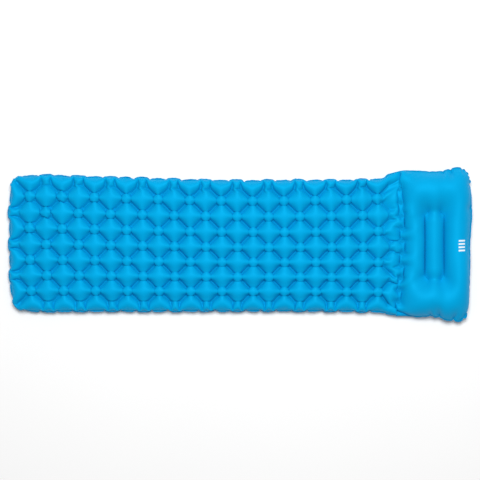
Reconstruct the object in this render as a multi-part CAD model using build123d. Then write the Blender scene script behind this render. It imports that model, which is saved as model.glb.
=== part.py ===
from build123d import *
import math
import os

# One-person camping air mattress with a built-in pillow, inflated and lying
# flat. Millimetres, +Z up. The origin is at the centre of the footprint on the
# ground: +X runs to the head (pillow) end, Y across the width.
#
# The mattress is two coated-fabric sheets welded edge to edge round a flat rim.
# The pillow is a second chamber of the same two sheets, divided from the mat by
# a welded seam that works as a fabric hinge. Each chamber has one flat two-stage
# valve on the underside, where the sheet slopes up to the rim, so that it clears
# the ground and cannot be seen from above.

# ---- driving dimensions -------------------------------------------------
LENGTH = 1900.0            # foot rim to head rim
HALF_L = LENGTH / 2
SEAM_X = 667.0             # fold line between mat and pillow
SEAM_GAP = 2.0             # bare strip of the fold between the two rims
MAT_T = 52.0               # inflated thickness of the mat
RIM_Z = MAT_T / 2          # height of the mat's welded rim, and of the fold line
PILLOW_T = 98.0            # inflated thickness of the pillow
PILLOW_RIM_Z = 47.0        # height of the pillow's rim at the head end
SKIN_T = 0.8               # sheet with its coating, as modelled
RIM_W = 5.0                # flat welded rim outside the inflated part
RIM_T = 0.6                # thickness of each sheet in the welded rim

FOOT_HALF_W = 277.0        # half widths of the outline
MID_X, MID_HALF_W = 330.0, 268.0
FLARE_X, FLARE_HALF_W = 585.0, 272.0
NECK_HALF_W = 292.0
PILLOW_NECK_HALF_W = 294.0
EAR_X, EAR_HALF_W = 900.0, 315.0
HEAD_HALF_W = 250.0

# side slopes, as run per unit of rise
TOP_SLOPE = 0.85           # mat, upper side walls
LOW_SLOPE = 0.92           # mat, lower side walls
PILLOW_TOP_SLOPE = 0.75
PILLOW_LOW_SLOPE = 0.90
FOOT_FACET_DEG = 25.0      # underside slope at the foot, which carries a valve
HEAD_FACET_DEG = 35.0      # underside slope at the head, which carries a valve

# valve, in its own frame: z outward along its axis, z = 0 on the sheet's outer
# face, x towards the ground side. The deflate cap hangs from the rim side and the
# inflate cap from the ground side.
MAT_VALVE_Y = -69.0
MAT_VALVE_S = 24.5         # distance down the slope from the rim
PILLOW_VALVE_Y = -70.0
PILLOW_VALVE_S = 30.0
FLANGE_R = 21.0            # flange welded to the inside of the sheet
FLANGE_T = 1.2
NECK_R = 15.0
NECK_BORE_R = 13.0
NECK_H = 4.0
HOLE_R = 15.2              # hole in the sheet
COLLAR_R = 17.6            # soft tether ring round the foot of the neck
CAP_IN_R = 15.4            # deflate cap, skirt over the neck
CAP_R = 17.2
CAP_Z0, PLATE_Z0, PLATE_Z1 = 2.0, 5.0, 6.2
TUBE_R = 9.0               # inflation port tube
PORT_R = 7.0
PORT_Z0, PORT_Z1 = 1.4, 8.2
THROAT_R = 6.4             # throat below the nozzle stop
TUBE_Z0 = -4.6
SPIDER_T = 1.2
HUB_R, HUB_HOLE_R = 2.3, 1.15
FLAP_R, FLAP_T = 8.6, 0.8
STEM_R, BEAD_R = 0.95, 1.7
FLAP_TRAVEL = 2.0
LID_R, LID_IN_R = 10.4, 9.35   # inflate cap, skirt over the port rim
LID_Z0, LID_Z1, LID_T = 6.5, 8.6, 1.0
HINGE_X, HINGE_Z = -19.2, 3.0      # deflate cap hinge line
LID_HINGE_X, LID_HINGE_Z = 13.0, 7.6
BARREL_R = 1.2

os.makedirs("parts", exist_ok=True)


# ---- small helpers ------------------------------------------------------
def meet(planes):
    """The point where three planes (normal, offset) meet."""
    (n1, d1), (n2, d2), (n3, d3) = planes
    p = n2.cross(n3) * d1 + n3.cross(n1) * d2 + n1.cross(n2) * d3
    return p * (1.0 / n1.dot(n2.cross(n3)))


def ring(walls, level):
    """Corners of a loop of side walls on a level plane."""
    return [meet([walls[i - 1], walls[i], level]) for i in range(len(walls))]


def faceted(low, high):
    """A closed solid between two loops of corners with flat sides."""
    n = len(low)
    faces = [Face(Wire.make_polygon(low)), Face(Wire.make_polygon(high))]
    for i in range(n):
        j = (i + 1) % n
        faces.append(Face(Wire.make_polygon([low[i], low[j], high[j], high[i]])))
    solid = Solid(Shell(faces))
    return solid if solid.volume > 0 else Solid(Shell([-f for f in faces]))


def half_shell(outline, slopes, up, rim_z, end_z):
    """Half of an inflated chamber: a thin sheet from the flat rim to a flat
    top or bottom. outline is counter-clockwise, slopes holds one run per unit
    of rise for each of its sides, rim_z gives the rim's height at an X."""
    sign = 1.0 if up else -1.0
    n = len(outline)
    a, b = rim_z(0.0), rim_z(1.0) - rim_z(0.0)
    rim_n = Vector(-b, 0, 1).normalized()
    rim_plane = (rim_n, rim_n.dot(Vector(0, 0, a)))
    walls, edges = [], []
    for i in range(n):
        p, q = outline[i], outline[(i + 1) % n]
        along = Vector(q[0] - p[0], q[1] - p[1], 0).normalized()
        inward = Vector(-along.Y, along.X, 0)
        p0 = Vector(p[0], p[1], 0) + inward * RIM_W
        p0 = Vector(p0.X, p0.Y, rim_z(p0.X))
        tangent = Vector(along.X, along.Y, b * along.X)
        lean = inward * slopes[i] + Vector(0, 0, sign)
        normal = tangent.cross(lean).normalized()
        if normal.dot(inward) > 0:
            normal = normal * -1.0
        walls.append((normal, normal.dot(p0)))
    inner = [(nn, d - SKIN_T) for nn, d in walls]
    end = (Vector(0, 0, 1), end_z)
    end_in = (Vector(0, 0, 1), end_z - sign * SKIN_T)
    outer_rim, outer_end = ring(walls, rim_plane), ring(walls, end)
    inner_rim, inner_end = ring(inner, rim_plane), ring(inner, end_in)
    shell = faceted(outer_rim, outer_end) - faceted(inner_rim, inner_end)
    edge = [Vector(x, y, rim_z(x)) for x, y in outline]
    lift = Vector(0, 0, sign * RIM_T)
    rim = faceted(edge, [v + lift for v in edge])
    core = faceted([v - lift for v in inner_rim], [v + lift * 2 for v in inner_rim])
    return (shell + (rim - core)).solids()[0]


def write(name, shape):
    shape.label = name
    export_step(shape, f"parts/{name}.step")


# ---- sheets -------------------------------------------------------------
mat_end = SEAM_X - SEAM_GAP / 2
pillow_end = SEAM_X + SEAM_GAP / 2
mat_outline = [
    (-HALF_L, -FOOT_HALF_W), (MID_X, -MID_HALF_W), (FLARE_X, -FLARE_HALF_W),
    (mat_end, -NECK_HALF_W), (mat_end, NECK_HALF_W), (FLARE_X, FLARE_HALF_W),
    (MID_X, MID_HALF_W), (-HALF_L, FOOT_HALF_W),
]
pillow_outline = [
    (pillow_end, -PILLOW_NECK_HALF_W), (EAR_X, -EAR_HALF_W),
    (HALF_L, -HEAD_HALF_W), (HALF_L, HEAD_HALF_W), (EAR_X, EAR_HALF_W),
    (pillow_end, PILLOW_NECK_HALF_W),
]
foot_slope = 1.0 / math.tan(math.radians(FOOT_FACET_DEG))
head_slope = 1.0 / math.tan(math.radians(HEAD_FACET_DEG))


def mat_rim(x):
    return RIM_Z


def pillow_rim(x):
    return RIM_Z + (PILLOW_RIM_Z - RIM_Z) * (x - SEAM_X) / (HALF_L - SEAM_X)


mat_top = half_shell(mat_outline, [TOP_SLOPE] * 8, True, mat_rim, MAT_T)
mat_bottom = half_shell(
    mat_outline, [LOW_SLOPE] * 7 + [foot_slope], False, mat_rim, 0.0)
pillow_top = half_shell(
    pillow_outline, [PILLOW_TOP_SLOPE] * 6, True, pillow_rim, PILLOW_T)
pillow_bottom = half_shell(
    pillow_outline,
    [PILLOW_LOW_SLOPE, PILLOW_LOW_SLOPE, head_slope, PILLOW_LOW_SLOPE,
     PILLOW_LOW_SLOPE, PILLOW_LOW_SLOPE],
    False, pillow_rim, 0.0)

# ---- valve frames -------------------------------------------------------
ft = math.radians(FOOT_FACET_DEG)
ht = math.radians(HEAD_FACET_DEG)
mat_valve = Plane(
    origin=(-HALF_L + RIM_W + MAT_VALVE_S * math.cos(ft), MAT_VALVE_Y,
            RIM_Z - MAT_VALVE_S * math.sin(ft)),
    x_dir=(math.cos(ft), 0, -math.sin(ft)),
    z_dir=(-math.sin(ft), 0, -math.cos(ft)))
head_wall_x = HALF_L - RIM_W
pillow_valve = Plane(
    origin=(head_wall_x - PILLOW_VALVE_S * math.cos(ht), PILLOW_VALVE_Y,
            pillow_rim(head_wall_x) - PILLOW_VALVE_S * math.sin(ht)),
    x_dir=(-math.cos(ht), 0, -math.sin(ht)),
    z_dir=(math.sin(ht), 0, -math.cos(ht)))


def at_z(shape, z):
    return Pos(0, 0, z) * shape


def tube(r_out, r_in, z0, z1):
    """A plain ring about the valve's axis."""
    c = (Align.CENTER, Align.CENTER, Align.MIN)
    ring_ = Cylinder(r_out, z1 - z0, align=c)
    if r_in:
        ring_ = ring_ - at_z(Cylinder(r_in, z1 - z0 + 2, align=c), -1)
    return at_z(ring_, z0)


def bar(x0, x1, y0, y1, z0, z1):
    return Pos((x0 + x1) / 2, (y0 + y1) / 2, (z0 + z1) / 2) * Box(
        x1 - x0, y1 - y0, z1 - z0)


def barrel(x, z, r, half):
    return Pos(x, 0, z) * Rot(90, 0, 0) * Cylinder(r, 2 * half)


def valve_pieces():
    """All pieces of one valve in the valve's own frame."""
    flange_z1 = -SKIN_T
    base = (tube(FLANGE_R, NECK_BORE_R, flange_z1 - FLANGE_T, flange_z1)
            + tube(NECK_R, NECK_BORE_R, flange_z1 - FLANGE_T, NECK_H))

    # soft ring round the neck with the tab that the deflate cap hangs from
    collar = tube(COLLAR_R, NECK_R + 0.1, 0.05, 1.25)
    collar += bar(HINGE_X - 1.6, -COLLAR_R + 1.2, -5.5, 5.5, 0.05, 1.25)
    collar = collar - tube(NECK_R + 0.1, 0, -1, 3)

    # deflate cap: skirt over the neck, plate, port tube with a three-armed
    # spider at its inner end, hinge barrel and pull tab
    cap = tube(CAP_R, CAP_IN_R, CAP_Z0, PLATE_Z1)
    cap += tube(CAP_R, PORT_R, PLATE_Z0, PLATE_Z1)
    cap += tube(TUBE_R, PORT_R, PORT_Z0, PORT_Z1)
    cap += tube(TUBE_R, THROAT_R, TUBE_Z0, PORT_Z0)
    spider = tube(HUB_R, 0, TUBE_Z0, TUBE_Z0 + SPIDER_T)
    for k in range(3):
        spider += Rot(0, 0, 120 * k + 60) * bar(
            0.5, THROAT_R + 0.6, -0.8, 0.8, TUBE_Z0, TUBE_Z0 + SPIDER_T)
    spider = spider - tube(HUB_HOLE_R, 0, TUBE_Z0 - 1, TUBE_Z0 + SPIDER_T + 1)
    cap += spider
    cap += barrel(HINGE_X, HINGE_Z, BARREL_R, 4.5)
    cap += bar(HINGE_X, -CAP_R + 0.6, -4.5, 4.5, HINGE_Z - 0.6, HINGE_Z + 0.7)
    cap = cap - tube(CAP_IN_R, 0, CAP_Z0 - 2, PLATE_Z0) + (
        tube(TUBE_R, THROAT_R, TUBE_Z0, PORT_Z0) + spider
        + tube(TUBE_R, PORT_R, PORT_Z0, PORT_Z1))
    tab = bar(CAP_R - 0.8, 20.3, -5.0, 5.0, PLATE_Z1 - 1.3, PLATE_Z1)
    cap += tab
    # stand for the inflate cap's hinge line
    cap += bar(LID_HINGE_X - 1.3, LID_HINGE_X + 1.3, -5.6, -3.4, PLATE_Z1 - 0.4,
               LID_HINGE_Z + 0.9)
    cap += bar(LID_HINGE_X - 1.3, LID_HINGE_X + 1.3, 3.4, 5.6, PLATE_Z1 - 0.4,
               LID_HINGE_Z + 0.9)

    seal = at_z(Torus(14.0, 0.4), PLATE_Z0 - 0.4)

    # check flap: disc under the tube's end, stem through the hub, bead above it
    flap_z1 = TUBE_Z0 - 0.1
    hub_z1 = TUBE_Z0 + SPIDER_T
    bead_z0 = hub_z1 + FLAP_TRAVEL + 0.3
    flap = tube(FLAP_R, 0, flap_z1 - FLAP_T, flap_z1)
    flap += tube(STEM_R, 0, flap_z1 - FLAP_T / 2, bead_z0 + 0.4)
    flap += tube(BEAD_R, 0, bead_z0, bead_z0 + 0.9)

    # inflate cap: skirt over the port rim, hinge barrel between the two stands
    lid = tube(LID_R, LID_IN_R, LID_Z0, LID_Z1)
    lid += tube(LID_R, 0, LID_Z1, LID_Z1 + LID_T)
    lid += barrel(LID_HINGE_X, LID_HINGE_Z, 0.9, 3.0)
    lid += bar(LID_R - 0.7, LID_HINGE_X, -3.0, 3.0, LID_HINGE_Z - 0.1,
               LID_HINGE_Z + 0.9)
    lid += bar(-13.0, -LID_R + 0.7, -3.2, 3.2, LID_Z1 - 0.2, LID_Z1 + LID_T)
    lid = lid - tube(LID_IN_R, 0, LID_Z0 - 1, LID_Z1)
    lid_seal = tube(PORT_R + 1.9, PORT_R + 0.2, LID_Z1 - 0.25, LID_Z1)
    return {
        "valve_base": base, "valve_tether": collar, "deflate_cap": cap,
        "deflate_seal": seal, "check_flap": flap, "inflate_cap": lid,
        "inflate_seal": lid_seal,
    }


pieces = valve_pieces()
hole = tube(HOLE_R, 0, -6, 4)
mat_bottom = (mat_bottom - mat_valve.location * hole).solids()[0]
pillow_bottom = (pillow_bottom - pillow_valve.location * hole).solids()[0]

write("mat_top_skin", mat_top)
write("mat_bottom_skin", mat_bottom)
write("pillow_top_skin", pillow_top)
write("pillow_bottom_skin", pillow_bottom)
for side, frame in (("mat", mat_valve), ("pillow", pillow_valve)):
    for name, shape in pieces.items():
        write(f"{side}_{name}", frame.location * shape)

print("mat valve centre", mat_valve.origin, "axis", mat_valve.z_dir)
print("pillow valve centre", pillow_valve.origin, "axis", pillow_valve.z_dir)
for side, frame in (("mat", mat_valve), ("pillow", pillow_valve)):
    for label, p in (("deflate hinge", (HINGE_X, 0, HINGE_Z)),
                     ("inflate hinge", (LID_HINGE_X, 0, LID_HINGE_Z)),
                     ("port mouth middle", (0, 0, (PORT_Z0 + PORT_Z1) / 2))):
        print(side, label, frame.from_local_coords(Vector(*p)))
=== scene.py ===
import math

import bpy
import numpy as np
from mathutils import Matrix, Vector


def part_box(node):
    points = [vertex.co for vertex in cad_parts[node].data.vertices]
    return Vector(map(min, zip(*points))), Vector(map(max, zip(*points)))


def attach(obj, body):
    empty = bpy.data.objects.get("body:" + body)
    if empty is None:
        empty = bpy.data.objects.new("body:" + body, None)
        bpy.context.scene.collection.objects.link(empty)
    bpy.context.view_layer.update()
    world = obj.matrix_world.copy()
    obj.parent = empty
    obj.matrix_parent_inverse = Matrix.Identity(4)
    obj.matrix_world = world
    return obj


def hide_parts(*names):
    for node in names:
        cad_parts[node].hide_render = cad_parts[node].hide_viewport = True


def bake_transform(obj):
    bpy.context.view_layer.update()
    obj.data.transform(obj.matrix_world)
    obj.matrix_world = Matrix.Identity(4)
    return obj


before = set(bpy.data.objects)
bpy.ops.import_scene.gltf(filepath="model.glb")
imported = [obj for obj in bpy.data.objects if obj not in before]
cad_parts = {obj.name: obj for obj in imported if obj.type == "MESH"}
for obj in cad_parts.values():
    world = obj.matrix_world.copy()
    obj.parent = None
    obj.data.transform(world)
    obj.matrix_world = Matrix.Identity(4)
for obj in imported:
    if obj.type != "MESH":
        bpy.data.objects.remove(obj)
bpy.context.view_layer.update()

# ------------------------------------------------------------------ camera
VIEW_W = 1.961              # width of the view on the mat's top, metres
LENS = 100.0
cam_data = bpy.data.cameras.new("camera")
cam_data.lens = LENS
cam_data.sensor_width = 36.0
cam_data.dof.use_dof = False
camera = bpy.data.objects.new("camera", cam_data)
bpy.context.scene.collection.objects.link(camera)
camera.location = (0.0031, 0.0163, 0.045 + VIEW_W * LENS / 36.0)
camera.rotation_euler = (0.0, 0.0, 0.0)
bpy.context.scene.camera = camera

# ------------------------------------------------- places taken from the frame
mat_lo, mat_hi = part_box("mat_top_skin")
pil_lo, pil_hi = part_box("pillow_top_skin")
FOOT_X, SEAM_X, HEAD_X = mat_lo.x * 1000, (mat_hi.x + pil_lo.x) * 500, pil_hi.x * 1000
MID_Z = mat_lo.z * 1000     # height of the mat's welded rim
HEAD_RIM_Z = MID_Z + 21.0
SX = (HEAD_X - FOOT_X) / 1900.0

# The pad is two coated sheets on one flat grid: index a runs from the foot to
# the head, index b from the +Y side to the -Y side. Millimetres.
M = 21                      # cells per pitch of the weld lattice
PITCH = 80.5                # flat pitch of the lattice
H = PITCH / M
NI, NJ = 24, 8              # lattice cells along and across
FOOT, SIDE = 6, 5           # margin cells outside the outer lattice lines
FOOT_H, SIDE_H = 4.4, 5.0   # their size
PILLOW_H = 4.05             # cell size along the pillow
RIM_H = 4.5                 # welded rim, one cell wide
FLARE = 14.0                # extra half width of the pillow end
FOOT_R, HEAD_R = 22.0, 62.0  # corner radii of the flat cut
SEAM_L, SEAM_R = 6, 12      # the seam's two levels, in cells past the lattice
G1, G2, HEAD = 37, 61, 94   # pillow grooves and head rim, the same way
GROOVE_HALF = 40            # half length of a groove, in cells
FULL = 0.115                 # extra fullness of the rolls between the grooves
SLIM = 0.10                 # how much narrower the cut is at the pillow

A0 = 1 + FOOT
B0 = 1 + SIDE
C24 = A0 + M * NI
NA = C24 + HEAD + 2
NB = B0 + M * NJ + SIDE + 2
f32 = np.float32


def smooth(t):
    t = np.clip(t, 0, 1)
    return t * t * (3 - 2 * t)


def lattice(i, j):
    """Inflated place of lattice point (i, j); j counts rows from the +Y side."""
    a = np.clip((np.asarray(i, float) - 12) / 12.0, -1.12, 1.1)
    b = (np.asarray(j, float) - 4) / 4.0
    x = (-135.6 + 774.2 * a - 7.35 * a**2 + 5.54 * a**3 + 2.4 * b
         - 2.74 * a * b - 0.23 * a * a * b - 1.18 * b * b
         - 6.26 * a * b * b + 0.63 * b**3 - 1.55 * a**4 + 0.55 * a**3 * b)
    y = (-12.5 - 9.76 * a + 11.8 * a**2 + 4.07 * a**3 - 248.0 * b
         + 7.8 * a * b - 10.95 * a * a * b + 7.87 * b * b
         + 3.22 * a * b * b - 0.52 * b**3 - 5.34 * a**4 - 7.3 * a**3 * b)
    return x * SX, y


def corner(U, V, cu, cv, r, su, sv):
    """Rounds one corner of the flat cut: su, sv say which way it points."""
    s, t = su * (U - cu) / r, sv * (V - cv) / r
    inside = (s > 0) & (t > 0)
    s2, t2 = np.clip(s, 0, 1), np.clip(t, 0, 1)
    x = s2 * np.sqrt(1 - t2 * t2 / 2)
    y = t2 * np.sqrt(1 - s2 * s2 / 2)
    return np.where(inside, cu + su * r * x, U), np.where(inside, cv + sv * r * y, V)


def flat_layout():
    """Flat, unrolled place of every grid vertex."""
    hu = np.full(NA - 1, H)
    hu[1:A0] = FOOT_H
    hu[C24 + SEAM_R:] = PILLOW_H
    hu[0] = hu[-1] = RIM_H
    hv = np.full(NB - 1, H)
    hv[1:B0] = hv[-(SIDE + 1):-1] = SIDE_H
    hv[0] = hv[-1] = RIM_H
    u = np.concatenate([[0], np.cumsum(hu)])
    u -= u[A0]
    v = np.concatenate([[0], np.cumsum(hv)])
    v = v[B0 + M * NJ // 2] - v
    U, V = np.meshgrid(u, v, indexing="ij")
    k = smooth((np.arange(NA) - (C24 - 22)) / 30.0)[:, None] * FLARE
    edge = PITCH * NJ / 2
    out = np.clip((np.abs(V) - edge + 40) / (abs(v[0]) - edge + 40), 0, 1)
    V = V + np.sign(V) * out * k
    e = abs(v[0]) + FLARE
    for sgn in (1, -1):
        U, V = corner(U, V, u[-1] - HEAD_R, sgn * (e - HEAD_R), HEAD_R, 1, sgn)
        U, V = corner(U, V, u[0] + FOOT_R, sgn * (abs(v[0]) - FOOT_R), FOOT_R, -1, sgn)
    return np.stack([U, V], -1), u, v


FLAT, U1, V1 = flat_layout()


def bow(y):
    """How far the seam leans back towards the foot away from its middle."""
    lean = np.where(y > 0, -15.0, -20.0) * (np.abs(y - 4) / 240.0) ** 2
    # past the last step it runs straight on to the rim
    return np.where(y > 0, lean * (1 - smooth((y - 224) / 14.0)), np.maximum(lean, -17.0))


CAPS = [225, 172, 116, 64, 11, -38, -90, -139, -190, -236]   # Y of the seam's steps


def seam_y(v):
    top, bot = V1[1], V1[-2]
    return np.interp(v, [bot, -2 * PITCH, 0, 2 * PITCH, top], [-296.0, -144.0, -11.0, 121.0, 300.0])


# the pillow's outer edge from the seam's +Y end round to its -Y end, from SEAM_X
EDGE = [(-10, 300), (30, 302), (60, 301), (135, 297), (184, 307), (220, 315),
        (251, 309), (268, 293), (277, 274), (281, 255), (278, 232), (283, 124),
        (276, 20), (273, -100), (271, -215), (267, -262), (264, -288), (256, -308),
        (230, -319), (206, -317), (179, -313), (150, -304), (130, -301),
        (112, -297), (60, -300), (-10, -294)]
# where that edge gathers into tucks round the two ears, and how deep each is
TUCKS = [(164, 295, 3.5), (193, 304, 6), (241, 306, 6), (261, 299, 6), (272, 281, 6),
         (273, 266, 6.5), (272, 243, 8), (283, 150, 2), (268, -245, 3), (259, -278, 8),
         (252, -311, 8), (206, -313, 7), (148, -300, 5), (112, -296, 3)]


def edge_curve(points, n=14):
    """A smooth curve through the points."""
    P = np.array(points, float)
    Q = np.vstack([2 * P[0] - P[1], P, 2 * P[-1] - P[-2]])
    t = np.linspace(0, 1, n, endpoint=False)[:, None]
    out = []
    for k in range(1, len(Q) - 2):
        a, b, c, d = Q[k - 1], Q[k], Q[k + 1], Q[k + 2]
        out.append(0.5 * (2 * b + (c - a) * t + (2 * a - 5 * b + 4 * c - d) * t * t
                          + (3 * b - a - 3 * c + d) * t**3))
    return np.vstack(out + [P[-1:]])


def run_length(P):
    return np.concatenate([[0], np.cumsum(np.linalg.norm(np.diff(P, axis=0), axis=1))])


def margin(c, seed, base, tab):
    """How far the rim stands out from the outer lattice line at lattice
    coordinate c. Every lobe is a low arc one pitch wide, with a notch where the
    rim gathers between two lobes; the small nodes at even c reach out as tabs."""
    r = np.random.default_rng(seed)
    lobe = np.round(c)
    f = c - lobe
    size = np.arange(-2, 28)
    arc = np.interp(lobe, size, 3.6 + 1.3 * r.standard_normal(30))
    notch = np.interp(np.floor(c), size, r.uniform(0.3, 3.2, 30))
    lean = np.interp(lobe, size, 0.9 * r.standard_normal(30))
    o = base + arc * (1 - 4 * f * f) - arc * 0.5 + lean * f * 2
    o -= notch * np.exp(-((np.abs(f) - 0.5) / 0.06) ** 2)
    near = np.abs(((c + 1) % 2) - 1)
    o += tab * (1 / (1 + np.exp((near - 0.40) / 0.05)))
    o += 0.7 * np.interp(c, np.linspace(-2, 27, 240), r.standard_normal(240))
    return o


def rim_line():
    """The rim's outer edge in X and Y for every border index."""
    ii = (np.arange(NA) - A0) / M
    jj = (np.arange(NB) - B0) / M
    sides = []
    base_top = np.interp(ii, [0, 18, 20, 24], [20.0, 19.0, 14.5, 10.0])
    base_bot = np.interp(ii, [0, 24], [23.5, 22.0])
    for j, sg, seed, base, tab in ((0, 1, 3, base_top, 3.5), (NJ, -1, 4, base_bot, 2.0)):
        x, y = lattice(np.clip(ii, 0, 30), j)
        o = margin(ii, seed, base, tab)
        x0, xh = lattice(0, j)[0] + 1.0, lattice(0.5, j)[0]
        x = np.where(ii < 0.5, x0 + (xh - x0) * (ii - ii[0]) / (0.5 - ii[0]), x)
        o = 1.5 + (o - 1.5) * np.clip((ii - ii[0]) / 1.6, 0, 1) ** 0.6
        f = smooth((ii - 23.1) / 1.15)
        yy = (y + sg * o) * (1 - f) + (299.5 if sg > 0 else -295.0) * f
        sides.append(np.stack([x, yy], -1))
    top, bot = sides
    x, y = lattice(0, np.clip(jj, 0, NJ))
    o = margin(jj, 5, np.interp(jj, [0, 4, 5, 8], [16.0, 16.5, 18.5, 22.0]),
               np.interp(jj, [0, 4, 8], [7.0, 6.0, 1.0]))
    c = (np.clip((jj - jj[0]) / 1.7, 0, 1) * np.clip((jj[-1] - jj) / 1.7, 0, 1)) ** 0.6
    lo, hi = lattice(0, 0)[1], lattice(0, NJ)[1]
    ylo, yhi = lattice(0, 0.5)[1], lattice(0, NJ - 0.5)[1]
    y = np.where(jj < 0.5, lo + (ylo - lo) * (jj - jj[0]) / (0.5 - jj[0]), y)
    y = np.where(jj > NJ - 0.5, hi + (yhi - hi) * (jj[-1] - jj) / (jj[-1] - NJ + 0.5), y)
    foot = np.stack([x - (1.5 + (o - 1.5) * c), y], -1)
    # the pillow's edge, by share of the way round in the flat cut
    a_s = C24 + SEAM_L
    path = ([(a, 0) for a in range(a_s, NA)] + [(NA - 1, b) for b in range(1, NB)]
            + [(a, NB - 1) for a in range(NA - 2, a_s - 1, -1)])
    L = run_length(np.array([FLAT[p] for p in path]))
    E = edge_curve(EDGE)
    E[:, 0] += SEAM_X + 3.0
    LE = run_length(E)
    c1, c2 = L[path.index((NA - 1, 0))], L[path.index((NA - 1, NB - 1))]
    e1, e2 = LE[np.argmax(E[:, 0] + E[:, 1])], LE[np.argmax(E[:, 0] - E[:, 1])]
    s = np.interp(L, [0, c1, c2, L[-1]], [0, e1, e2, LE[-1]])
    # puckers where the rim gathers round the ears, fainter along the head
    r = np.random.default_rng(11)
    tang = np.stack([np.gradient(np.interp(s, LE, E[:, 0])),
                     np.gradient(np.interp(s, LE, E[:, 1]))], -1)
    tang /= np.linalg.norm(tang, axis=1)[:, None] + 1e-9
    outw = np.stack([-tang[:, 1], tang[:, 0]], -1)
    depth, tucks = np.zeros(len(s)), []
    for x, y, deep in TUCKS:
        at = LE[np.argmin(np.hypot(E[:, 0] - SEAM_X - 3.0 - x, E[:, 1] - y))]
        depth -= 1.35 * deep * np.exp(-np.abs(s - at) / 4.5)
        a, b = path[int(np.argmin(np.abs(s - at)))]
        tucks.append((a, b, -1 if a > NA - 15 else 0, 1 if b < 15 else -1 if b > NB - 16 else 0,
                      1 + int(deep > 4)))
    depth += 0.7 * np.interp(s, np.linspace(0, LE[-1], 90), r.standard_normal(90))
    Q = np.stack([np.interp(s, LE, E[:, 0]), np.interp(s, LE, E[:, 1])], -1)
    Q = Q + outw * depth[:, None]
    head = np.zeros((NB, 2))
    for (a, b), q in zip(path, Q):
        if b == 0:
            top[a] = q
        if b == NB - 1:
            bot[a] = q
        if a == NA - 1:
            head[b] = q
    for arr in (top, bot):
        n = np.arange(C24 - 6, C24 + SEAM_L)
        f = ((n - n[0]) / (a_s - n[0]))[:, None]
        arr[n] = arr[n[0]] * (1 - f) + arr[a_s] * f
    return top, bot, foot, head, tucks


def seam_levels():
    y = seam_y(V1)
    return np.array([sum(1 for c in CAPS if c > y[b]) % 2 == 1 for b in range(NB)])


LEVEL = seam_levels()


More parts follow.
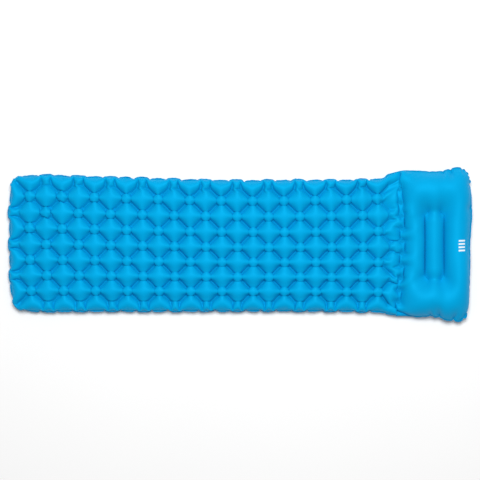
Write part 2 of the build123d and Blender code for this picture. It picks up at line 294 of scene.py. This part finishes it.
def targets():
    """A first guess of every vertex's place, where the welds hold it, and masks:
    pin (weld lines), bond (both sheets joined), rim (the outer edge)."""
    ia, jb = (np.arange(NA) - A0) / M, (np.arange(NB) - B0) / M
    X, Y = lattice(*np.meshgrid(ia, jb, indexing="ij"))
    k = np.arange(NA)[:, None] + np.zeros((1, NB)) - C24
    v = V1[None, :] + np.zeros((NA, 1))
    ys, yp = seam_y(v), v * 300.0 / (V1[0] + FLARE) + 1.0
    xs = np.interp(k, [0, SEAM_L, SEAM_R, G1, G2, HEAD, HEAD + 1],
                   [SEAM_X - 27.3, SEAM_X - 8.1, SEAM_X + 11.9, SEAM_X + 93, SEAM_X + 171,
                    HEAD_X - 4, HEAD_X])
    w1, w2 = smooth(k / SEAM_L), np.clip((k - SEAM_R) / 14.0, 0, 1)
    Y = (Y * (1 - w1) + ys * w1) * (1 - w2) + yp * w2
    X = np.where(k > 0, xs + bow(ys) * np.clip(1 - (k - SEAM_R) / 14.0, 0, 1) * w1, X)
    pin, bond = np.zeros((NA, NB), bool), np.zeros((NA, NB), bool)
    PX, PY = X.copy(), Y.copy()
    bond[:2] = bond[-2:] = True
    bond[:, :2] = bond[:, -2:] = True
    # rim: its outer edge and, one cell in, the line where the sheets part
    top, bot, foot, head, tucks = rim_line()
    rim = np.zeros((NA, NB), bool)
    R = np.zeros((NA, NB, 2))
    R[:, 0], R[:, -1], R[0, :], R[-1, :] = top, bot, foot, head
    R[0, 0] = (foot[0] + top[0]) / 2 + (-2.5, 2.5)
    R[0, -1] = (foot[-1] + bot[0]) / 2 + (-2.5, -2.5)
    loop = ([(a, 0) for a in range(NA)] + [(NA - 1, b) for b in range(1, NB)]
            + [(a, NB - 1) for a in range(NA - 2, -1, -1)]
            + [(0, b) for b in range(NB - 2, 0, -1)])
    Q = np.array([R[p] for p in loop])
    sm = Q.copy()
    for _ in range(6):
        sm = (np.roll(sm, 1, 0) + sm * 2 + np.roll(sm, -1, 0)) / 4
    tang = np.roll(sm, -2, 0) - np.roll(sm, 2, 0)
    tang /= np.linalg.norm(tang, axis=1)[:, None] + 1e-9
    inw = np.stack([tang[:, 1], -tang[:, 0]], -1)
    # the gathered rim also ripples up and down a little
    r = np.random.default_rng(23)
    far = run_length(Q)
    wave = np.interp(far, np.arange(0, far[-1] + 20, 17.0),
                     r.standard_normal(len(np.arange(0, far[-1] + 20, 17.0))))
    for _ in range(3):
        wave = (np.roll(wave, 1) + wave * 2 + np.roll(wave, -1)) / 4
    ripple = np.zeros((NA, NB))
    inner = {}
    for n_, (a, b) in enumerate(loop):
        PX[a, b], PY[a, b] = Q[n_]
        rim[a, b] = True
        ripple[a, b] = 1.7 * wave[n_]
        key = (min(max(a, 1), NA - 2), min(max(b, 1), NB - 2))
        inner.setdefault(key, []).append((*(Q[n_] + inw[n_] * RIM_H), 0.6 * wave[n_]))
    for key, q in inner.items():
        PX[key], PY[key], ripple[key] = np.mean(q, 0)
        rim[key] = True
    # weld bars: one on a diagonal of every lattice cell
    for i in range(NI):
        for j in range(NJ):
            a1, b1 = A0 + M * i, B0 + M * j
            up = (i + j) % 2 == 0
            ends = ((i, j), (i + 1, j + 1)) if up else ((i, j + 1), (i + 1, j))
            p, q = (np.array(lattice(*e), float) for e in ends)
            d = (q - p) / np.linalg.norm(q - p)
            n = np.array([-d[1], d[0]])
            c = (p + q) / 2
            fd = np.array([1.0, -1.0 if up else 1.0]) / math.sqrt(2)
            fn = np.array([-fd[1], fd[0]])
            for kk in range(7, 15):
                for off in (-1, 0, 1):
                    if off and kk == 14:
                        continue
                    a, b = kk + (off == 1), kk + (off == -1)
                    aa, bb = a1 + a, b1 + b if up else b1 + M - b
                    f = np.array([(a - M / 2) * H, -(bb - b1 - M / 2) * H])
                    PX[aa, bb], PY[aa, bb] = c + (f @ fd) * d + (f @ fn) * n
                    pin[aa, bb] = bond[aa, bb] = True
    # the stepped seam between mat and pillow
    y_here = seam_y(V1)
    for b in range(1, NB - 1):
        cells = [C24 + (SEAM_R if LEVEL[b] else SEAM_L)]
        if LEVEL[b] != LEVEL[b - 1]:
            cells = range(C24 + SEAM_L, C24 + SEAM_R + 1)
        for a in cells:
            PX[a, b] = SEAM_X - 8.1 + 20.0 * (a - C24 - SEAM_L) / (SEAM_R - SEAM_L) + bow(y_here[b])
            PY[a, b] = y_here[b]
            pin[a, b] = bond[a, b] = True
    # a round weld at every step
    for b0 in np.nonzero(LEVEL[1:] != LEVEL[:-1])[0] + 1:
        for a in range(C24 + SEAM_L + 1, C24 + SEAM_R):
            for b in range(b0 - 2, b0 + 3):
                if math.hypot(a - C24 - 9, b - b0) <= 2.3:
                    PX[a, b] = SEAM_X - 8.1 + 20.0 * (a - C24 - SEAM_L) / (SEAM_R - SEAM_L) + bow(y_here[b])
                    PY[a, b] = y_here[b]
                    pin[a, b] = bond[a, b] = True
    # pillow grooves, their ends turned in
    mid = B0 + M * NJ // 2
    for g, x0, s in ((G1, SEAM_X + 93, 1), (G2, SEAM_X + 171, -1)):
        for db in range(-GROOVE_HALF, GROOVE_HALF + 1):
            e = max(0, abs(db) - (GROOVE_HALF - 4))
            a = C24 + g + s * e
            PX[a, mid + db], PY[a, mid + db] = x0 + s * e * H * 0.85, -7.0 - db * 137.5 / GROOVE_HALF
            pin[a, mid + db] = bond[a, mid + db] = True
    # at each tuck the two sheets are caught together a little way in
    for a, b, da, db, n_ in tucks:
        for m in range(2 + n_):
            bond[a + da * m, b + db * m] = True
    rim &= ~pin
    return PX, PY, pin, bond, rim, ripple




def valve_frames():
    """Centre, local X, outward axis, sense of u along local X, and the flat
    centre of each valve, in mm, read from the valve parts' own meshes."""
    out = {}
    for side, deg, sx in (("mat", 25.0, 1.0), ("pillow", 35.0, -1.0)):
        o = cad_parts[side + "_valve_base"]
        co = np.array([v.co for v in o.data.vertices], float) * 1000
        t = math.radians(deg)
        xl = np.array([sx * math.cos(t), 0, -math.sin(t)])
        ax = np.array([-sx * math.sin(t), 0, -math.cos(t)])
        mid = (co.min(0) + co.max(0)) / 2
        # the neck's outer end is 4 mm proud of the sheet
        cx = ((co @ xl).min() + (co @ xl).max()) / 2
        c = cx * xl + ((co @ ax).max() - 4.0) * ax + np.array([0, mid[1], 0])
        if side == "mat":
            rows = np.linspace(4, 6, 41)
            flat_c = (U1[1] + 24.5, np.interp(-c[1], -lattice(0.3, rows)[1], (4 - rows) * PITCH))
        else:
            flat_c = (U1[-2] - 30.0, c[1] * (V1[0] + FLARE) / 300.0)
        out[side] = (c, xl, ax, sx, flat_c)
    return out


VALVES = valve_frames()
print("valves", {k: np.round(v[0], 2).tolist() for k, v in VALVES.items()})


def inflate(steps):
    """Blows the two welded sheets up: no sheet stretches, the welds hold them
    together, and the floor and the pillow's weight flatten the underside."""
    PX, PY, pin, bond, rim, ripple = targets()
    T = np.zeros((NA, NB, 3), f32)
    T[..., 0], T[..., 1] = PX, PY
    k = np.clip((np.arange(NA) - (C24 + SEAM_L)) / float(HEAD - SEAM_L), 0, 1)
    zmid = MID_Z + (HEAD_RIM_Z - MID_Z) * k[:, None] + ripple
    T[..., 2] = zmid
    Bt = T.copy()
    T[..., 2] += np.where(bond, 0, 1.5)
    Bt[..., 2] -= np.where(bond, 0, 1.5)
    mat = (np.arange(NA) <= C24 + SEAM_R)[:, None] & np.ones((1, NB), bool)
    hold, hold_z, groove = pin & mat, bond & mat, pin & ~mat
    P = np.stack([PX, PY, zmid], -1).astype(f32)
    F = FLAT
    slim = 1 - SLIM * smooth((np.arange(NA) - (C24 + SEAM_R - 1)) / 12.0)[:, None]

    # the rolls between the grooves are cut with more fullness than the lobes
    n = np.arange(NA)[:, None] - C24
    wide = 1 + FULL * (smooth((n - SEAM_L) / 8.0) * smooth((HEAD - 12 - n) / 10.0)
                       * (1 - smooth((np.abs(V1)[None, :] - 140) / 70.0)))
    dip = smooth(n / 4.0) * (1 - smooth((n - SEAM_R) / 3.0))
    wide = wide * (1 - 0.02 * dip)

    def rest_of(p, q, k, w):
        return np.hypot((q - p)[..., 0] * w, (q - p)[..., 1] * k)

    rest = {
        "u": rest_of(F[:-1], F[1:], slim[:-1], wide[:-1]),
        "v": rest_of(F[:, :-1], F[:, 1:], slim, wide[:, :-1]),
        "d": rest_of(F[:-1, :-1], F[1:, 1:], slim[:-1], wide[:-1, :-1]),
        "e": rest_of(F[:-1, 1:], F[1:, :-1], slim[:-1], wide[:-1, :-1]),
    }
    KC, KS, PUSH = 0.04, 0.35, 0.006
    wT = np.where(hold, 0.0, 1.0).astype(f32)
    wB = wT.copy()
    held = np.zeros((NA, NB), bool)
    HQ = np.zeros((NA, NB, 3), f32)
    for side, (c, xl, ax, sx, fc) in VALVES.items():
        d = (FLAT - np.array(fc)) * (1, 1 if side == "mat" else 1 - SLIM)
        m = (np.hypot(d[..., 0], d[..., 1]) <= 21.5) & ~bond
        q = (c - 0.4 * ax) + sx * d[..., :1] * xl + d[..., 1:] * np.array([0, 1.0, 0])
        HQ[m] = q[m]
        held |= m
    wB[held] = 0
    HQ = HQ[held]

    def batches(w):
        out = []

        def add(pa, qa, r, kt, kc):
            wp, wq = w[pa], w[qa]
            sw = wp + wq
            ip = np.where(sw > 0, wp / np.maximum(sw, 1e-6), 0)[..., None].astype(f32)
            iq = np.where(sw > 0, wq / np.maximum(sw, 1e-6), 0)[..., None].astype(f32)
            both = (bond & ~pin)[pa] & (bond & ~pin)[qa]
            out.append((pa, qa, np.ascontiguousarray(r.astype(f32)),
                        np.where(both, 1.0, kt).astype(f32),
                        np.where(both, 0.0, kc).astype(f32), ip, iq))
        for par in (0, 1):
            n = (NA - par) // 2
            lo, hi = slice(par, par + 2 * n - 1, 2), slice(par + 1, par + 2 * n, 2)
            add((lo, slice(None)), (hi, slice(None)), rest["u"][par::2], 1.0, KC)
            n2 = (NB - par) // 2
            add((slice(None), slice(par, par + 2 * n2 - 1, 2)),
                (slice(None), slice(par + 1, par + 2 * n2, 2)), rest["v"][:, par::2], 1.0, KC)
            add((lo, slice(0, NB - 1)), (hi, slice(1, NB)), rest["d"][par::2], KS, KC * KS)
            add((hi, slice(0, NB - 1)), (lo, slice(1, NB)), rest["e"][par::2], KS, KC * KS)
        return out

    bT, bB = batches(wT), batches(wB)

    def solve(S, bs):
        for pa, qa, r, kt, kc, ip, iq in bs:
            d = S[qa] - S[pa]
            L = np.sqrt(np.einsum("abk,abk->ab", d, d)) + 1e-9
            e = L - r
            d *= (np.where(e > 0, kt, kc) * e / L)[..., None]
            S[pa] += ip * d
            S[qa] -= iq * d

    def push_of(S):
        gu, gv = np.empty_like(S), np.empty_like(S)
        gu[1:-1] = (S[2:] - S[:-2]) * 0.5
        gu[0], gu[-1] = S[1] - S[0], S[-1] - S[-2]
        gv[:, 1:-1] = (S[:, 2:] - S[:, :-2]) * 0.5
        gv[:, 0], gv[:, -1] = S[:, 1] - S[:, 0], S[:, -1] - S[:, -2]
        n = np.cross(gv, gu)
        n[:2] = n[-2:] = 0
        n[:, :2] = n[:, -2:] = 0
        return n / (H * H)

    def lap(S, n=1):
        o = np.zeros_like(S)
        k = slice(n, -n)
        o[k, k] = (S[2 * n:, k] + S[:-2 * n, k] + S[k, 2 * n:] + S[k, :-2 * n]) * 0.25 - S[k, k]
        return o

    Tp, Bp = T.copy(), Bt.copy()
    free = (~bond)[..., None].astype(f32)
    past = smooth((np.arange(NA) - (C24 + SEAM_R)) / 10.0)[:, None, None]
    bend = (0.06 + 0.07 * past).astype(f32)
    # broad folds of the big pillow chamber are ironed out too, away from welds
    far = np.ones((NA, NB), bool)
    far[:C24 + SEAM_R] = False
    shut = bond.copy()
    for _ in range(4):
        grown = shut.copy()
        grown[1:] |= shut[:-1]
        grown[:-1] |= shut[1:]
        grown[:, 1:] |= shut[:, :-1]
        grown[:, :-1] |= shut[:, 1:]
        shut = grown
    far &= ~shut
    broad = (0.015 * far)[..., None].astype(f32)
    for it in range(steps):
        ph = it / steps
        pk = PUSH * (1.0 if ph < 0.6 else 1.0 - 0.75 * (ph - 0.6) / 0.4)
        dm = 0.97 if ph < 0.7 else 0.93
        for S, Sp, sign, w in ((T, Tp, 1.0, wT), (Bt, Bp, -1.0, wB)):
            n = push_of(S) * (sign * pk)
            v = (S - Sp) * dm
            Sp[...] = S
            S += v
            S += n * w[..., None]
            S[C24 + SEAM_R:, :, 2] -= 0.0006
        solve(T, bT)
        solve(Bt, bB)
        if it % 2 == 0:
            for S, w in ((T, wT), (Bt, wB)):
                l1 = lap(S)
                l1[bond] = 0
                S -= bend * lap(l1) * w[..., None] * free
                c0 = C24 + SEAM_R - 8
                l3 = lap(S[c0:], 3)
                S[c0:] -= broad[c0:] * lap(l3, 3) * w[c0:, :, None]
        av = 0.5 * (T[bond] + Bt[bond])
        T[bond] = av
        Bt[bond] = av
        for S in (T, Bt):
            S[hold] = P[hold]
            S[hold_z, 2] = P[hold_z, 2]
            S[rim, :2] = P[rim, :2]
            S[groove, :2] = P[groove, :2]
        Bt[held] = HQ
        np.maximum(Bt[..., 2], 0.0, out=Bt[..., 2])
    print("mat top", round(float(T[A0:C24, :, 2].max()), 1), "pillow top", round(float(T[..., 2].max()), 1))
    return T.astype(float), Bt.astype(float), pin, bond


T, BT, PIN, BOND = inflate(620)

# --------------------------------------------------------------- the meshes
diag = np.ones((NA - 1, NB - 1), bool)      # which way each cell is split
for i in range(NI):
    for j in range(NJ):
        if (i + j) % 2:
            diag[A0 + M * i:A0 + M * (i + 1), B0 + M * j:B0 + M * (j + 1)] = False
seam_col = np.where(LEVEL[:-1], C24 + SEAM_R, C24 + SEAM_L)
IS_MAT = np.arange(NA - 1)[:, None] < seam_col[None, :]
STUCK = 0.35                                 # half thickness of two fused sheets


def set_mesh(name, co, tris, flat, weld):
    me = bpy.data.meshes.new(name)
    me.vertices.add(len(co))
    me.vertices.foreach_set("co", np.asarray(co, f32).ravel())
    me.loops.add(3 * len(tris))
    me.loops.foreach_set("vertex_index", np.asarray(tris, np.int32).ravel())
    me.polygons.add(len(tris))
    me.polygons.foreach_set("loop_start", np.arange(0, 3 * len(tris), 3, dtype=np.int32))
    me.polygons.foreach_set("use_smooth", np.ones(len(tris), bool))
    me.update(calc_edges=True)
    at = me.attributes.new("flat", "FLOAT_VECTOR", "POINT")
    at.data.foreach_set("vector", np.asarray(flat, f32).ravel())
    at = me.attributes.new("weld", "FLOAT", "POINT")
    at.data.foreach_set("value", np.asarray(weld, f32))
    me.validate()
    ob = bpy.data.objects.new(name, me)
    bpy.context.scene.collection.objects.link(ob)
    return ob


def sheet_piece(name, S, cells, up):
    """One sheet of one chamber as a mesh, with its cut edge closed down to the
    weld's mid plane."""
    S = S.copy()
    mid = S.copy()
    S[..., 2] += np.where(BOND, STUCK if up else -STUCK, 0)
    drop = np.zeros((NA, NB), bool)
    if not up:
        for side, (c, xl, ax, sx, fc) in VALVES.items():
            d = (FLAT - np.array(fc)) * (1, 1 if side == "mat" else 1 - SLIM)
            r = np.hypot(d[..., 0], d[..., 1])
            hole = r < 13.6
            gone = hole[:-1, :-1] | hole[1:, :-1] | hole[:-1, 1:] | hole[1:, 1:]
            cells = cells & ~gone
            ring = np.zeros((NA, NB), bool)
            for da in (0, 1):
                for db in (0, 1):
                    ring[da:NA - 1 + da, db:NB - 1 + db] |= gone
            ring &= ~hole
            n = d / np.maximum(r, 1e-6)[..., None] * 16.2
            q = (c - 0.4 * ax) + sx * n[..., :1] * xl + n[..., 1:] * np.array([0, 1.0, 0])
            S[ring] = q[ring]
    idx = np.arange(NA * NB).reshape(NA, NB)
    p00, p10 = idx[:-1, :-1], idx[1:, :-1]
    p11, p01 = idx[1:, 1:], idx[:-1, 1:]
    t1 = np.where(diag[..., None], np.stack([p00, p01, p11], -1), np.stack([p00, p01, p10], -1))
    t2 = np.where(diag[..., None], np.stack([p00, p11, p10], -1), np.stack([p01, p11, p10], -1))
    tris = np.concatenate([t1[cells], t2[cells]])
    co = S.reshape(-1, 3) / 1000
    flat = np.concatenate([FLAT, np.zeros((NA, NB, 1))], -1).reshape(-1, 3) / 1000
    soft = BOND.astype(float)
    weld = soft.reshape(-1)
    # closing strip along the cut edge
    strips = []
    runs = [([(a, 0) for a in range(NA)], cells[:, 0]),
            ([(NA - 1, b) for b in range(NB)], cells[-1, :]),
            ([(a, NB - 1) for a in range(NA - 1, -1, -1)], cells[::-1, -1]),
            ([(0, b) for b in range(NB - 1, -1, -1)], cells[0, ::-1])]
    extra, ex_flat = [], []
    base = NA * NB
    for run, on in runs:
        for n, ok in enumerate(on):
            if not ok:
                continue
            a, b = run[n], run[n + 1]
            k = base + len(extra)
            extra += [S[a], S[b], mid[b], mid[a]]
            ex_flat += [FLAT[a], FLAT[b], FLAT[b], FLAT[a]]
            strips += [(k, k + 1, k + 2), (k, k + 2, k + 3)]
    if extra:
        co = np.vstack([co, np.array(extra) / 1000])
        flat = np.vstack([flat, np.concatenate([np.array(ex_flat), np.zeros((len(extra), 1))], -1) / 1000])
        weld = np.concatenate([weld, np.ones(len(extra))])
        tris = np.vstack([tris, np.array(strips)])
    if not up:
        tris = tris[:, ::-1]
    used = np.unique(tris)
    new = np.zeros(len(co), int)
    new[used] = np.arange(len(used))
    ob = set_mesh(name, co[used], new[tris], flat[used], weld[used])
    ob.data.set_sharp_from_angle(angle=math.radians(48))
    return ob


def two_sheets(tag, cells):
    return (sheet_piece(tag + "_top_sheet", T, cells, True),
            sheet_piece(tag + "_bottom_sheet", BT, cells, False))


mat_top, mat_bottom = two_sheets("mat", IS_MAT)
pillow_top, pillow_bottom = two_sheets("pillow", ~IS_MAT)


# ---------------------------------------------------------------- materials
def new_material(name):
    m = bpy.data.materials.new(name)
    m.use_nodes = True
    nt = m.node_tree
    nt.nodes.clear()
    out = nt.nodes.new("ShaderNodeOutputMaterial")
    bsdf = nt.nodes.new("ShaderNodeBsdfPrincipled")
    nt.links.new(bsdf.outputs["BSDF"], out.inputs["Surface"])
    return m, nt, bsdf


def node(nt, kind, **values):
    n = nt.nodes.new(kind)
    for k, v in values.items():
        if hasattr(n, k):
            setattr(n, k, v)
        else:
            n.inputs[k].default_value = v
    return n


def math_node(nt, op, a, b):
    n = nt.nodes.new("ShaderNodeMath")
    n.operation = op
    for s, v in ((0, a), (1, b)):
        if isinstance(v, (int, float)):
            n.inputs[s].default_value = v
        else:
            nt.links.new(v, n.inputs[s])
    return n.outputs[0]


def mix_colour(nt, fac, a, b, blend="MIX"):
    n = nt.nodes.new("ShaderNodeMix")
    n.data_type = "RGBA"
    n.blend_type = blend
    for s, v in ((0, fac), (6, a), (7, b)):
        if isinstance(v, (int, float, tuple)):
            n.inputs[s].default_value = v
        else:
            nt.links.new(v, n.inputs[s])
    return n.outputs[2]


MARK = ((U1[-2] - 51.0) / 1000, -0.006)


def coated_nylon(name, marked=False):
    """Sky-blue plain-weave nylon with a matt TPU coating. Threads run along and across the cut; the welds are
    pressed flatter and a little glossier.
    Their darker blue is partly the fused double layer's own tone and partly painted shade of the crevices the
    welds lie in."""
    m, nt, bsdf = new_material(name)
    flat = node(nt, "ShaderNodeAttribute", attribute_name="flat")
    weld = node(nt, "ShaderNodeAttribute", attribute_name="weld")
    xyz = nt.nodes.new("ShaderNodeSeparateXYZ")
    nt.links.new(flat.outputs["Vector"], xyz.inputs[0])
    # thread pairs, 0.5 mm apart
    warp = math_node(nt, "SINE", math_node(nt, "MULTIPLY", xyz.outputs[0], 2 * math.pi / 0.0005), 0)
    weft = math_node(nt, "SINE", math_node(nt, "MULTIPLY", xyz.outputs[1], 2 * math.pi / 0.0005), 0)
    weave = math_node(nt, "MULTIPLY", warp, weft)
    cloud = node(nt, "ShaderNodeTexNoise", Scale=9.0, Detail=3.0, Roughness=0.55)
    grain = node(nt, "ShaderNodeTexNoise", Scale=900.0, Detail=2.0, Roughness=0.6)
    crinkle = node(nt, "ShaderNodeTexNoise", Scale=75.0, Detail=4.0, Roughness=0.6, Distortion=0.9)
    for n in (cloud, grain, crinkle):
        nt.links.new(flat.outputs["Vector"], n.inputs["Vector"])
    deep, pale = (0.0002, 0.280, 0.565, 1), (0.0004, 0.334, 0.655, 1)
    base = mix_colour(nt, cloud.outputs["Fac"], deep, pale)
    # thread by thread variation
    thread = mix_colour(nt, math_node(nt, "MULTIPLY", math_node(nt, "ADD", weave, 1.0), 0.05),
                        base, (0.0, 0.20, 0.45, 1))
    fleck = mix_colour(nt, math_node(nt, "MULTIPLY", grain.outputs["Fac"], 0.10), thread, (0.002, 0.46, 0.82, 1))
    # welds and the welded rim darkened: partly the fused double layer's tone, partly painted shade of the
    # crevices
    weld_shade_colour = mix_colour(nt, math_node(nt, "MULTIPLY", weld.outputs["Fac"], 0.60), fleck, (0.0002, 0.17, 0.38, 1))
    # four plain printed bars on the pillow's top sheet
    if marked:
        along = math_node(nt, "ABSOLUTE", math_node(nt, "SUBTRACT", xyz.outputs[0], MARK[0]), 0)
        in_x = math_node(nt, "LESS_THAN", along, 0.014)
        row = math_node(nt, "SUBTRACT", xyz.outputs[1], MARK[1])
        in_y = math_node(nt, "LESS_THAN", math_node(nt, "ABSOLUTE", row, 0), 0.030)
        stripe = math_node(nt, "PINGPONG", math_node(nt, "ADD", row, 0.030), 0.0075)
        bar = math_node(nt, "GREATER_THAN", stripe, 0.0038)
        ink = math_node(nt, "MULTIPLY", math_node(nt, "MULTIPLY", in_x, in_y), bar)
        weld_shade_colour = mix_colour(nt, math_node(nt, "MULTIPLY", ink, 0.92), weld_shade_colour, (0.80, 0.84, 0.86, 1))
    nt.links.new(weld_shade_colour, bsdf.inputs["Base Color"])
    rough = math_node(nt, "ADD", math_node(nt, "MULTIPLY", grain.outputs["Fac"], 0.14), 0.46)
    rough = math_node(nt, "ADD", rough, math_node(nt, "MULTIPLY", weld.outputs["Fac"], 0.12))
    nt.links.new(rough, bsdf.inputs["Roughness"])
    b1 = node(nt, "ShaderNodeBump", Strength=0.25, Distance=0.00006)
    nt.links.new(weave, b1.inputs["Height"])
    b2 = node(nt, "ShaderNodeBump", Strength=0.35, Distance=0.0006)
    nt.links.new(crinkle.outputs["Fac"], b2.inputs["Height"])
    nt.links.new(b1.outputs["Normal"], b2.inputs["Normal"])
    nt.links.new(b2.outputs["Normal"], bsdf.inputs["Normal"])
    bsdf.inputs["Sheen Weight"].default_value = 0.08
    bsdf.inputs["Sheen Roughness"].default_value = 0.45
    bsdf.inputs["Sheen Tint"].default_value = (0.05, 0.55, 1.0, 1)
    bsdf.inputs["IOR"].default_value = 1.45
    bsdf.inputs["Specular IOR Level"].default_value = 0.65
    bsdf.inputs["Specular Tint"].default_value = (0.02, 0.60, 1.0, 1)
    return m


def moulded(name, colour, spread, rough, coat=0.0, bump=0.2, scale=900.0):
    """Injection-moulded plastic or rubber: fine spark-eroded grain, soft flow
    clouds in the colour and a slightly uneven gloss."""
    m, nt, bsdf = new_material(name)
    tc = nt.nodes.new("ShaderNodeTexCoord")
    fine = node(nt, "ShaderNodeTexNoise", Scale=scale, Detail=3.0, Roughness=0.6)
    cloud = node(nt, "ShaderNodeTexNoise", Scale=60.0, Detail=2.0, Roughness=0.5)
    for n in (fine, cloud):
        nt.links.new(tc.outputs["Object"], n.inputs["Vector"])
    a = tuple(c * (1 - spread) for c in colour) + (1,)
    b = tuple(min(1.0, c * (1 + spread)) for c in colour) + (1,)
    nt.links.new(mix_colour(nt, cloud.outputs["Fac"], a, b), bsdf.inputs["Base Color"])
    nt.links.new(math_node(nt, "ADD", math_node(nt, "MULTIPLY", fine.outputs["Fac"], 0.16), rough - 0.08),
                 bsdf.inputs["Roughness"])
    bp = node(nt, "ShaderNodeBump", Strength=bump, Distance=0.0001)
    nt.links.new(fine.outputs["Fac"], bp.inputs["Height"])
    nt.links.new(bp.outputs["Normal"], bsdf.inputs["Normal"])
    bsdf.inputs["Coat Weight"].default_value = coat
    return m


nylon = coated_nylon("coated_nylon")
nylon_marked = coated_nylon("coated_nylon_printed", True)
valve_plastic = moulded("valve_plastic", (0.035, 0.040, 0.046), 0.25, 0.42, coat=0.1)
valve_soft = moulded("valve_soft", (0.055, 0.060, 0.066), 0.2, 0.68, bump=0.35)
silicone = moulded("silicone", (0.70, 0.71, 0.69), 0.05, 0.38)
silicone.node_tree.nodes["Principled BSDF"].inputs["Subsurface Weight"].default_value = 0.25
silicone.node_tree.nodes["Principled BSDF"].inputs["Subsurface Radius"].default_value = (0.002, 0.002, 0.002)


# --------------------------------------------------- pieces on the CAD bodies
def lugs(name, side):
    """Two rounded ears of the soft tether that hold the cap's hinge barrel."""
    c, xl, ax, sx, fc = VALVES[side]
    yl = np.cross(ax, xl)
    hx, hz = -19.2, 3.0
    prof = [(hx - 1.6, 0.9)]
    for n in range(13):
        t = math.pi - math.pi * n / 12
        prof.append((hx + 1.9 * math.cos(t), hz + 1.9 * math.sin(t)))
    prof.append((hx + 1.9, 0.9))
    co, faces = [], []
    for y0 in (4.65, -5.75):
        base = len(co)
        n = len(prof)
        for yy, grow in ((y0, -0.15), (y0 + 0.15, 0.0), (y0 + 0.95, 0.0), (y0 + 1.1, -0.15)):
            for px, pz in prof:
                qx, qz = px - hx, pz - hz
                r = math.hypot(qx, qz)
                k = (r + grow) / r if pz > 1.0 else 1.0
                co.append(c + (hx + qx * k) * xl + yy * yl + (hz + qz * k) * ax)
        for ring_ in range(3):
            for q in range(n):
                a = base + ring_ * n + q
                b = base + ring_ * n + (q + 1) % n
                faces.append((a, b, b + n, a + n))
        faces.append(tuple(base + q for q in range(n - 1, -1, -1)))
        faces.append(tuple(base + 3 * n + q for q in range(n)))
    me = bpy.data.meshes.new(name)
    me.from_pydata([tuple(p / 1000) for p in co], [], faces)
    me.validate()
    me.update()
    import bmesh
    bm = bmesh.new()
    bm.from_mesh(me)
    bmesh.ops.recalc_face_normals(bm, faces=bm.faces)
    bm.to_mesh(me)
    bm.free()
    me.polygons.foreach_set("use_smooth", np.ones(len(me.polygons), bool))
    me.set_sharp_from_angle(angle=math.radians(35))
    ob = bpy.data.objects.new(name, me)
    bpy.context.scene.collection.objects.link(ob)
    me.materials.append(valve_soft)
    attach(ob, side)
    return ob


for side in ("mat", "pillow"):
    lugs(side + "_tether_lugs", side)

for sheet_ob in (mat_top, mat_bottom, pillow_top, pillow_bottom):
    sheet_ob.data.materials.append(nylon_marked if sheet_ob == pillow_top else nylon)

for sheet_ob, skin in ((mat_top, "mat_top_skin"), (mat_bottom, "mat_bottom_skin"),
                       (pillow_top, "pillow_top_skin"), (pillow_bottom, "pillow_bottom_skin")):
    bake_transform(sheet_ob)
    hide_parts(skin)

by_node = {
    "valve_base": valve_plastic, "valve_tether": valve_soft, "deflate_cap": valve_plastic,
    "deflate_seal": silicone, "check_flap": silicone, "inflate_cap": valve_plastic,
    "inflate_seal": silicone,
}
for side in ("mat", "pillow"):
    for part, material in by_node.items():
        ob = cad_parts[side + "_" + part]
        if not ob.material_slots:
            ob.data.materials.append(material)
        for s in ob.material_slots:
            s.material = material

# --------------------------------------------------------- floor and lights
def floor_material():
    m, nt, bsdf = new_material("studio_floor")
    tc = nt.nodes.new("ShaderNodeTexCoord")
    n = node(nt, "ShaderNodeTexNoise", Scale=1.5, Detail=2.0)
    nt.links.new(tc.outputs["Object"], n.inputs["Vector"])
    nt.links.new(mix_colour(nt, n.outputs["Fac"], (0.86, 0.86, 0.86, 1), (0.88, 0.88, 0.88, 1)),
                 bsdf.inputs["Base Color"])
    bsdf.inputs["Roughness"].default_value = 0.9
    bsdf.inputs["Specular IOR Level"].default_value = 0.1
    return m


me = bpy.data.meshes.new("floor")
me.from_pydata([(-14, -14, -0.0005), (14, -14, -0.0005), (14, 14, -0.0005), (-14, 14, -0.0005)],
               [], [(0, 1, 2, 3)])
floor = bpy.data.objects.new("floor", me)
bpy.context.scene.collection.objects.link(floor)
me.materials.append(floor_material())

world = bpy.data.worlds.new("studio")
bpy.context.scene.world = world
world.use_nodes = True
world.node_tree.nodes["Background"].inputs[0].default_value = (1.0, 1.0, 1.0, 1)
world.node_tree.nodes["Background"].inputs[1].default_value = 0.36


def area_light(name, place, aim, size, energy):
    data = bpy.data.lights.new(name, "AREA")
    data.shape = "DISK"
    data.size = size
    data.energy = energy
    ob = bpy.data.objects.new(name, data)
    ob.location = place
    ob.rotation_euler = (Vector(aim) - Vector(place)).to_track_quat("-Z", "Y").to_euler()
    bpy.context.scene.collection.objects.link(ob)
    return ob


area_light("key_light", (0.2, 1.9, 5.4), (0.0, 0.0, 0.0), 3.0, 330)
bpy.context.scene.view_settings.view_transform = "Standard"
bpy.context.scene.view_settings.look = "None"
bpy.context.scene.view_settings.exposure = 0.0
bpy.context.scene.view_settings.gamma = 1.0
